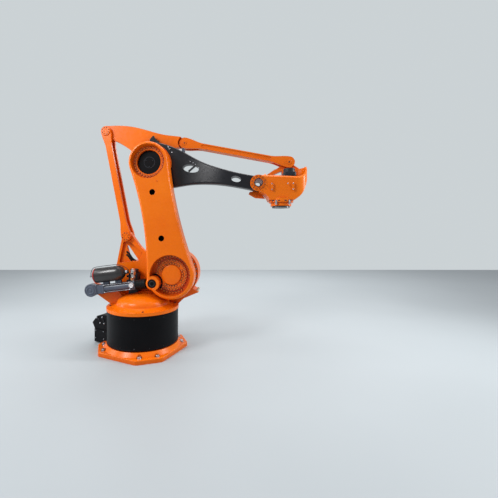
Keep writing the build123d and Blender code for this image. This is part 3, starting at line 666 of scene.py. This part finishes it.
def elbow_details():
    """Rim and screws of the elbow's cap, and two plugs in the link arm's head."""
    cap = Pile()
    cap_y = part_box("elbow_cap")[0].y
    cap.add(collar(0.058, 0.066, 0.0022), side(ELBOW, cap_y))
    for place in around(ELBOW, 0.046, (30, 150, 270), cap_y):
        cap.add(cap_screw(0.007, 0.0035), place)
    cap.piece("elbow_cap_ring", "link_arm", "motor_black")
    plugs = [at(x, LINK_NEAR, z, NEAR) for x, z in ((0.204, 1.898), (0.177, 2.302))]
    scatter("head_plugs", cap_screw(0.0075, 0.004), plugs, "link_arm", "orange_paint")


# Wrist


def wrist_details():
    """Screws and bore rings on both sides of the wrist."""
    faces = ((HAND_NEAR, NEAR), (-HAND_NEAR, FAR))
    ring = []
    for y, facing in faces:
        ring += around(WRIST, 0.070, every(30, 15, 345), y, facing)
    screws_with_shadow_rings("wrist", ring, "hand", (0.0058, 0.0090, 0.0010), (0.0058, 0.0065), "orange_paint")
    scatter("wrist_bore_rings", collar(0.038, 0.047, 0.004), at_pins([WRIST], faces), "hand", "dark_steel")


def hand_details():
    """Lugs on the hand's near side with their screws, and two pale zinc pads on the cup below them that are
    painted highlights.
    """
    lug_height, cup_near, highlight_pad_z = 0.004, -0.104, 1.651
    stands = Pile()
    lugs = Pile()
    for x, z in ((1.458, 1.819), (1.679, 1.818)):
        lugs.add(plate(rounded(0.030, 0.086, 0.0149, 8), lug_height, 0.002), at(x, HAND_NEAR, z, NEAR))
        for dz in (-0.031, 0.031):
            stands.add(cap_screw(0.0065, 0.0045), at(x, HAND_NEAR - lug_height, z + dz, NEAR))
    stands.add(cap_screw(0.0065, 0.005), at(1.624, HAND_NEAR, 1.849, NEAR))
    lugs.piece("hand_lugs", "hand", "orange_paint")
    # Pale pads that stand for glints on the cup: painted highlights
    for x in (1.504, 1.644):
        stands.add(plate(rounded(0.020, 0.050, 0.007), 0.022, 0.004), at(x, cup_near, highlight_pad_z, NEAR))
    stands.piece("hand_screws_and_highlight_pads", "hand", "zinc")


def neck_details():
    """Collar round the hand's neck, with thin dark plates on its rim that are painted shade of slots."""
    neck_r, low = 0.111, 1.655
    rim_r, foot_r = neck_r + 0.021, neck_r - 0.002
    ring = turned([
        (foot_r, low), (neck_r + 0.019, low + 0.001), (rim_r, low + 0.004), (rim_r, low + 0.026),
        (neck_r + 0.018, low + 0.032), (foot_r, low + 0.040),
    ], 72)
    scatter("neck_collar", ring, [at(TOOL.x, TOOL.y, 0)], "hand", "orange_paint")
    # Dark plates where the rim's slots are: painted shade
    slot_shades = []
    for place in level_circle(TOOL.x, TOOL.y, low + 0.016, neck_r + 0.0205, 12, 15):
        spot = place.to_translation()
        slot_shades.append(aimed(spot, (spot.x - TOOL.x, spot.y - TOOL.y, 0)))
    scatter("neck_slot_shades", plate(rounded(0.026, 0.011, 0.005), 0.0012, 0.0004), slot_shades, "hand", "dark_steel")


# Rods


REAR_ROD_FACES = ((0.080, NEAR), (0.240, FAR))
REAR_COVER_FACES = ((0.0881, NEAR), (0.2319, FAR))
FRONT_ROD_FACES = ((0.146, NEAR), (0.254, FAR))


def rear_rod_details():
    """Covers, screws and rings on both sides of the rear rod's eyes."""
    pins = (REAR_FOOT, REAR_TOP)
    cover_r = 0.057
    cover = turned([(0, 0), (cover_r, 0), (cover_r, 0.005), (cover_r - 0.003, 0.008), (0, 0.008)], 64)
    scatter("rear_rod_covers", cover, at_pins(pins, REAR_COVER_FACES), "rear_rod", "orange_paint")
    places = []
    for pin in pins:
        for y, facing in REAR_ROD_FACES:
            places += around(pin, 0.042, every(45, 22, 340), y, facing)
    screws_with_shadow_rings("rear_rod", places, "rear_rod", (0.0046, 0.0078, 0.0010), (0.0046, 0.0045), "orange_paint")
    centres = at_pins(pins, REAR_ROD_FACES)
    scatter("rear_rod_rings", collar(0.018, 0.024, 0.0015), centres, "rear_rod", "orange_paint")


def front_rod_details():
    """A ring with a screw in it on both sides of the front rod's eyes."""
    centres = at_pins((FRONT_REAR, FRONT_FRONT), FRONT_ROD_FACES)
    scatter("front_rod_rings", collar(0.024, 0.030, 0.0015), centres, "front_rod", "orange_paint")
    scatter("front_rod_screws", cap_screw(0.010, 0.005), centres, "front_rod", "dark_steel")


def pin_cap():
    """Stepped black cap in the mouth of the balancer pin."""
    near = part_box("balancer_pin")[0].y
    cap = turned([
        (0.0425, -0.004), (0.0425, 0.001), (0.0405, 0.002), (0.0330, 0.002), (0.0310, -0.002),
        (0.0240, -0.002), (0.0220, 0.001), (0, 0.001),
    ], 56)
    scatter("pin_cap", cap, [side(BALANCER_PIN, near)], "link_arm", "black_cover")


# Lever and arm


def lever_details():
    """Closing plate over the casting window behind the link arm's head."""
    window, window_near, lean = Vector((ELBOW.x - 0.060, 0, ELBOW.z + 0.300)), 0.1252, -14
    form = plate(rounded(0.162, 0.058, 0.028, 8), 0.002, 0.001)
    scatter("lever_window_plate", form, [side(window, window_near, lean)], "lever", "orange_paint")


def arm_details():
    """Saddle bracket on the hub, the rod's rest, and studs beside the openings."""
    drop, saddle_near, rest_near, stud_gap = -12, 0.104, 0.100, 0.001
    outline = [
        (0.040, 0.232), (0.010, 0.285), (-0.026, 0.304), (-0.060, 0.338), (-0.072, 0.334), (-0.098, 0.290),
        (-0.085, 0.240),
    ]
    saddle = plate(outline, 0.050, 0.004)
    scatter("hub_saddle", saddle, [side(ELBOW, saddle_near, drop)], "arm", "arm_black")
    rest = plate(rounded(0.031, 0.058, 0.004), 0.050, 0.003)
    scatter("rod_rest", rest, [at(0.4605, rest_near, 2.284, NEAR)], "arm", "grey_paint")
    spots = (
        (0.288, 0.038, 2.323), (0.301, 0.038, 2.303), (0.3325, 0.038, 2.263), (0.547, 0.0326, 2.1465),
        (0.582, 0.0283, 2.130), (0.611, 0.0237, 2.109), (0.647, 0.0158, 2.068),
    )
    places = [at(x, y + stud_gap, z, NEAR) for x, y, z in spots]
    scatter("arm_studs", cap_screw(0.0070, 0.007), places, "arm", "zinc")


# Balancer


BALANCER_ALONG = (BALANCER_PIN - TRUNNION).normalized()
BALANCER_LIFT = Vector((-BALANCER_ALONG.z, 0, BALANCER_ALONG.x))
REAR_HEAD = (0.140, 0.164)
FRONT_HEAD = (0.474, 0.530)
HEAD_WIDTH = 0.096
TIE_AT = 0.040
BOTTLE_OFFSET = 0.158
BOTTLE_R = 0.086
VALVE_X = -0.095


def on_balancer(along, lift, y=0.0):
    """A point by its distance along the cylinder from the trunnion and above its axis."""
    return TRUNNION + BALANCER_ALONG * along + BALANCER_LIFT * lift + Vector((0, BALANCER_Y + y, 0))


BALANCER_AXIS = aimed(on_balancer(0, 0), BALANCER_ALONG)
BOTTLE_AXIS = aimed(on_balancer(0, BOTTLE_OFFSET), BALANCER_ALONG)


def barrel_form():
    """Cylinder between two square heads."""
    barrel = Pile()
    for start, end in (REAR_HEAD, FRONT_HEAD):
        head = plate(rounded(HEAD_WIDTH, HEAD_WIDTH, 0.012), end - start, 0.002)
        barrel.add(head, BALANCER_AXIS @ Matrix.Translation((0, 0, start)))
    barrel_r, bore_r, start, end = 0.044, 0.039, 0.150, 0.480
    wall = turned([(bore_r, start), (barrel_r, start), (barrel_r, end), (bore_r, end)], 56)
    barrel.add(wall, BALANCER_AXIS)
    form = barrel.piece("headed_barrel", "balancer_cylinder", "grey_paint")
    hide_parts("balancer_barrel")


def tie_rods():
    """Four rods that hold the heads together."""
    rod_r, start, end = 0.006, 0.158, 0.480
    rod = turned([(0, start), (rod_r, start), (rod_r, end), (0, end)], 16)
    corners = [(x, y) for x in (-TIE_AT, TIE_AT) for y in (-TIE_AT, TIE_AT)]
    places = [BALANCER_AXIS @ Matrix.Translation((x, y, 0)) for x, y in corners]
    scatter("tie_rods", rod, places, "balancer_cylinder", "flange_steel")


def bellows_form():
    """Rubber bellows in front of the cylinder, round the piston rod."""
    folds, start, end, crest, root, bore_r = 7, FRONT_HEAD[1], 0.652, 0.057, 0.049, 0.044
    pitch = (end - start) / folds
    bellows = []
    for i in range(folds):
        bellows += [(root, start + i * pitch), (crest - 0.001, start + (i + 0.4) * pitch)]
        bellows += [(crest - 0.001, start + (i + 0.6) * pitch)]
    profile = [(bore_r, start)] + bellows + [(root, end), (bore_r, end), (bore_r, start)]
    sleeve = turned(profile, 56)
    form = scatter("rod_bellows", sleeve, [BALANCER_AXIS], "balancer_cylinder", "black_rubber", 50)
    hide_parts("balancer_sleeve")


def bottle_form():
    """Gas bottle with a dished end, a round shoulder and a short neck."""
    end, neck_r, neck_start, neck_end = 0.033, 0.018, 0.428, 0.462
    dished = smooth([
        (0.001, 0, end), (0.030, 0, 0.036), (0.058, 0, 0.047), (0.079, 0, 0.068), (BOTTLE_R, 0, 0.092)
    ])
    shoulder = smooth([
        (BOTTLE_R, 0, 0.336), (0.081, 0, 0.362), (0.066, 0, 0.392), (0.044, 0, 0.410), (0.024, 0, 0.420)
    ])
    neck = [(neck_r, neck_start), (neck_r, neck_end), (0, neck_end)]
    bottle = turned([(0, end)] + [(p.x, p.z) for p in dished + shoulder] + neck, 72)
    form = scatter("gas_bottle", bottle, [BOTTLE_AXIS], "balancer_cylinder", "bottle_black", 50)
    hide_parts("accumulator")


def saddle_form():
    """Two blocks that carry the bottle on the cylinder."""
    foot, lift = plate(rounded(0.070, 0.040, 0.006), 0.040, 0.003), 0.040
    quarter = Matrix.Rotation(math.pi / 2, 4, "Z")
    places = [aimed(on_balancer(along, lift), BALANCER_LIFT) @ quarter for along in (0.186, 0.330)]
    form = scatter("bottle_saddles", foot, places, "balancer_cylinder", "grey_paint")
    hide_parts("accumulator_cradle")


def tower_form():
    """Upright stack of round and hexagon valve fittings."""
    stack = turned([
        (0, 0.782), (0.024, 0.782), (0.024, 0.796), (0.028, 0.797, 6), (0.028, 0.817, 6), (0.022, 0.818),
        (0.022, 0.850), (0.031, 0.851, 6), (0.031, 0.879, 6), (0.024, 0.880), (0.024, 0.896),
        (0.020, 0.897, 6), (0.020, 0.914, 6), (0, 0.915),
    ], 36)
    form = scatter("valve_tower", stack, [at(VALVE_X, BALANCER_Y, 0)], "balancer_cylinder", "brass_fittings")
    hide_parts("valve_block")


def bottle_details():
    """Red band, end valve and neck nut of the gas bottle."""
    band = turned([(0.0795, 0.066), (0.0835, 0.067), (0.0862, 0.078), (0.0835, 0.0785), (0.0795, 0.0775)], 64)
    scatter("bottle_band", band, [BOTTLE_AXIS], "balancer_cylinder", "red_band")
    valve = turned([
        (0.012, 0.036, 6), (0.012, 0.024, 6), (0.008, 0.023), (0.008, 0.012), (0.011, 0.011),
        (0.011, 0.000), (0.009, -0.002), (0, -0.002)
    ], 24)
    nut = turned([(0.017, 0.432), (0.024, 0.433, 6), (0.024, 0.447, 6), (0.017, 0.448)], 24)
    pile = Pile()
    pile.add(valve, BOTTLE_AXIS)
    pile.add(nut, BOTTLE_AXIS)
    pile.piece("bottle_fittings", "balancer_cylinder", "flange_steel")


def bottle_pipe():
    """Thin pipe from the bottle's end valve over the bottle to its neck."""
    pipe_r, valve_z, top = 0.0032, 0.008, BOTTLE_OFFSET + BOTTLE_R
    path = [
        BOTTLE_AXIS @ Vector((0, 0, valve_z)),
        on_balancer(0.020, BOTTLE_OFFSET + 0.045, -0.010),
        on_balancer(0.052, top + 0.004, -0.012),
        on_balancer(0.110, top + 0.014, -0.010),
        on_balancer(0.250, top + 0.015, -0.004),
        on_balancer(0.350, top + 0.010),
        on_balancer(0.430, BOTTLE_OFFSET + 0.055),
        on_balancer(0.466, BOTTLE_OFFSET + 0.020),
    ]
    scatter("bottle_pipe", tube(path, pipe_r), [UP], "balancer_cylinder", "dark_steel")


def gauge_details():
    """Bezel, ticks, needle and hub of the pressure gauge."""
    lower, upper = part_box("pressure_gauge")
    x, z = (lower.x + upper.x) / 2, (lower.z + upper.z) / 2
    radius = (upper.x - lower.x) / 2
    face = at(x, lower.y, z, NEAR)
    bezel = turned([
        (radius - 0.004, 0), (radius - 0.0035, 0.002), (radius - 0.001, 0.003), (radius, 0.002),
        (radius, -0.008),
    ], 48)
    scatter("gauge_bezel", bezel, [face], "balancer_cylinder", "zinc")
    tick_r, needle_turn = 0.0195, math.radians(-35)
    tick = plate(rounded(0.0042, 0.0013, 0.0004, 2), 0.0004, 0.0001)
    marks = Pile()
    for angle in every(27, -45, 225):
        turn = Matrix.Rotation(math.radians(angle), 4, "Z")
        marks.add(tick, face @ turn @ Matrix.Translation((tick_r, 0, 0)))
    needle = plate([(-0.005, -0.0012), (0.017, -0.0004), (0.017, 0.0004), (-0.005, 0.0012)], 0.0008, 0.0002)
    marks.add(needle, face @ Matrix.Rotation(needle_turn, 4, "Z"))
    marks.add(turned([(0.0026, 0), (0.0026, 0.0012), (0, 0.0014)], 20), face)
    marks.piece("gauge_marks", "balancer_cylinder", "motor_black")


def barrel_fasteners():
    """Nuts on the tie rods and screws in the front head's near face."""
    nuts = []
    for y in (-TIE_AT, TIE_AT):
        for lift in (-TIE_AT, TIE_AT):
            nuts.append(aimed(on_balancer(REAR_HEAD[1], lift, y), BALANCER_ALONG))
            nuts.append(aimed(on_balancer(FRONT_HEAD[0], lift, y), -BALANCER_ALONG))
    nut = turned([(0.0105, 0, 6), (0.0105, 0.007, 6), (0.0085, 0.008), (0.006, 0.008), (0.006, 0.012)], 24)
    scatter("tie_nuts", nut, nuts, "balancer_cylinder", "flange_steel")
    screws = []
    for along in (0.486, 0.518):
        for lift in (-0.030, 0.030):
            screws.append(aimed(on_balancer(along, lift, -HEAD_WIDTH / 2), (0, -1, 0)))
    scatter("head_screws", cap_screw(0.0045, 0.004), screws, "balancer_cylinder", "dark_steel")


def trunnion_details():
    """Stepped cap on the clevis, two bands on its shank and a tab on the cylinder."""
    clevis_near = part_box("balancer_clevis")[0].y
    rings = Pile()
    rings.add(turned([
        (0.070, 0), (0.070, 0.004), (0.067, 0.007), (0.060, 0.007), (0.057, 0.003), (0.050, 0.003),
        (0.046, 0.009), (0.036, 0.010), (0.033, 0.005), (0.018, 0.005), (0.015, 0.009), (0, 0.009),
    ], 64), side(TRUNNION, clevis_near))
    for start, thick in ((0.062, 0.014), (0.122, 0.017)):
        band = plate(rounded(0.074, 0.112, 0.010), thick, 0.002)
        rings.add(band, aimed(on_balancer(start, 0), BALANCER_ALONG))
    rings.piece("trunnion_cap", "balancer_cylinder", "grey_paint")
    tab = plate(rounded(0.016, 0.012, 0.003), 0.020, 0.003)
    place = aimed(on_balancer(0.205, 0.037), BALANCER_LIFT)
    scatter("barrel_tab", tab, [place], "balancer_cylinder", "zinc")


def valve_details():
    """Bronze ball valve, and the bands and hexagon plugs of the valve tower."""
    ball_r, ball_z, steps = 0.017, 0.802, 12
    turns = [math.pi * i / steps for i in range(steps + 1)]
    ball = turned([(ball_r * math.sin(turn), ball_r * math.cos(turn)) for turn in turns], 28)
    pile = Pile()
    pile.add(ball, at(VALVE_X, BALANCER_Y - 0.030, ball_z))
    pile.add(collar(0.010, 0.0145, 0.012), at(VALVE_X, BALANCER_Y - 0.040, ball_z, NEAR))
    pile.piece("bronze_valve", "balancer_cylinder", "bronze")
    bands = [at(VALVE_X, BALANCER_Y, z) for z in (0.826, 0.842, 0.884, 0.892)]
    scatter("valve_bands", collar(0.024, 0.0275, 0.006), bands, "balancer_cylinder", "zinc")
    plug = turned([(0.011, 0, 6), (0.011, 0.008, 6), (0.008, 0.009), (0.008, 0.015), (0, 0.016)], 24)
    plug_z = 0.865
    plugs = [at(VALVE_X, BALANCER_Y + y, plug_z, facing) for y, facing in ((-0.026, NEAR), (0.026, FAR))]
    scatter("valve_plugs", plug, plugs, "balancer_cylinder", "dark_steel")


floor_bolts()
cover_details()
connector_details()
column_details()
link_screws()
gear_crown()
pin_gap()
link_bore_shades()
elbow_details()
wrist_details()
hand_details()
neck_details()
rear_rod_details()
front_rod_details()
pin_cap()
lever_details()
arm_details()
tower_hose()
turntable_dome()
buffer()
barrel_form()
tie_rods()
bellows_form()
bottle_form()
saddle_form()
tower_form()
bottle_details()
bottle_pipe()
gauge_details()
barrel_fasteners()
trunnion_details()
valve_details()


# Floor, light and camera


CAMERA_TURN = 0.112
CAMERA_PLACE = Vector((1.139, -3.431, 1.328))

# Name, place, target, width and length, and power in watts
SOFTBOXES = (
    ("key", (-3.25, -3.7, 4.9), (0.3, 0, 1.3), (1.8, 1.8), 222),
    ("left_strip", (-3.8, -0.6, 2.2), (0, 0, 1.4), (0.9, 3.6), 55),
    ("right_strip", (4.6, 0.0, 3.3), (0.3, 0, 1.4), (0.8, 3.0), 120),
    ("top", (0.6, 0.4, 5.4), (0.6, 0, 0), (3.5, 2.5), 75),
    ("back_floor", (0.5, 5.2, 4.4), (0.5, 5.2, 0), (10, 3), 250),
)


def stage():
    """A level floor whose far edge meets the backdrop in a straight line, as in a studio."""
    half_width, near_edge, far_edge = 30.0, -12.0, 10.8
    ahead = Vector((-math.sin(CAMERA_TURN), math.cos(CAMERA_TURN), 0))
    across = Vector((ahead.y, -ahead.x, 0))
    foot = Vector((CAMERA_PLACE.x, CAMERA_PLACE.y, 0))
    outline = (
        (-half_width, near_edge), (half_width, near_edge), (half_width, far_edge), (-half_width, far_edge)
    )
    mesh = bpy.data.meshes.new("floor")
    mesh.from_pydata([foot + across * x + ahead * y for x, y in outline], [], [(0, 1, 2, 3)])
    floor = bpy.data.objects.new("floor", mesh)
    bpy.context.scene.collection.objects.link(floor)
    paint = Shader("floor_paint")
    drift = paint.noise(scale=0.6)
    tone = paint.ramp(drift, [(NOISE_LOW, (0.425, 0.465, 0.485)), (NOISE_HIGH, (0.445, 0.485, 0.505))])
    mesh.materials.append(paint.finish(tone, 0.55))


def surroundings():
    """Even light from all round, and a pale backdrop that camera and transmission rays see."""
    world = bpy.data.worlds.new("studio")
    bpy.context.scene.world = world
    world.use_nodes = True
    tree = world.node_tree
    light = tree.nodes["Background"]
    light.inputs["Color"].default_value = (0.93, 0.96, 1.0, 1)
    light.inputs["Strength"].default_value = 0.5
    backdrop = tree.nodes.new("ShaderNodeBackground")
    backdrop.inputs["Color"].default_value = (0.60, 0.645, 0.665, 1)
    rays = tree.nodes.new("ShaderNodeLightPath")
    either = tree.nodes.new("ShaderNodeMath")
    either.operation = "MAXIMUM"
    tree.links.new(rays.outputs["Is Camera Ray"], either.inputs[0])
    tree.links.new(rays.outputs["Is Transmission Ray"], either.inputs[1])
    mix = tree.nodes.new("ShaderNodeMixShader")
    tree.links.new(either.outputs[0], mix.inputs[0])
    tree.links.new(light.outputs[0], mix.inputs[1])
    tree.links.new(backdrop.outputs[0], mix.inputs[2])
    tree.links.new(mix.outputs[0], tree.nodes["World Output"].inputs["Surface"])


def softbox(name, place, target, size, power):
    """A rectangular area lamp that looks at its target."""
    lamp = bpy.data.lights.new(name, "AREA")
    lamp.shape = "RECTANGLE"
    lamp.size, lamp.size_y = size
    lamp.energy = power
    box = bpy.data.objects.new(name, lamp)
    box.location = place
    box.rotation_euler = (Vector(target) - Vector(place)).to_track_quat("-Z", "Y").to_euler()
    bpy.context.scene.collection.objects.link(box)


def camera():
    """The photograph's camera: level, a little to the right of the machine, 3.4 m in front of it."""
    lens = bpy.data.cameras.new("camera")
    lens.sensor_width = 36.0
    lens.lens = 21.97
    lens.shift_x = 0.0831
    lens.shift_y = -0.0331
    view = bpy.data.objects.new("camera", lens)
    view.location = CAMERA_PLACE
    view.rotation_euler = (math.pi / 2, 0, CAMERA_TURN)
    bpy.context.scene.collection.objects.link(view)
    bpy.context.scene.camera = view


stage()
surroundings()
for values in SOFTBOXES:
    softbox(*values)
camera()
bpy.context.scene.view_settings.view_transform = "Standard"
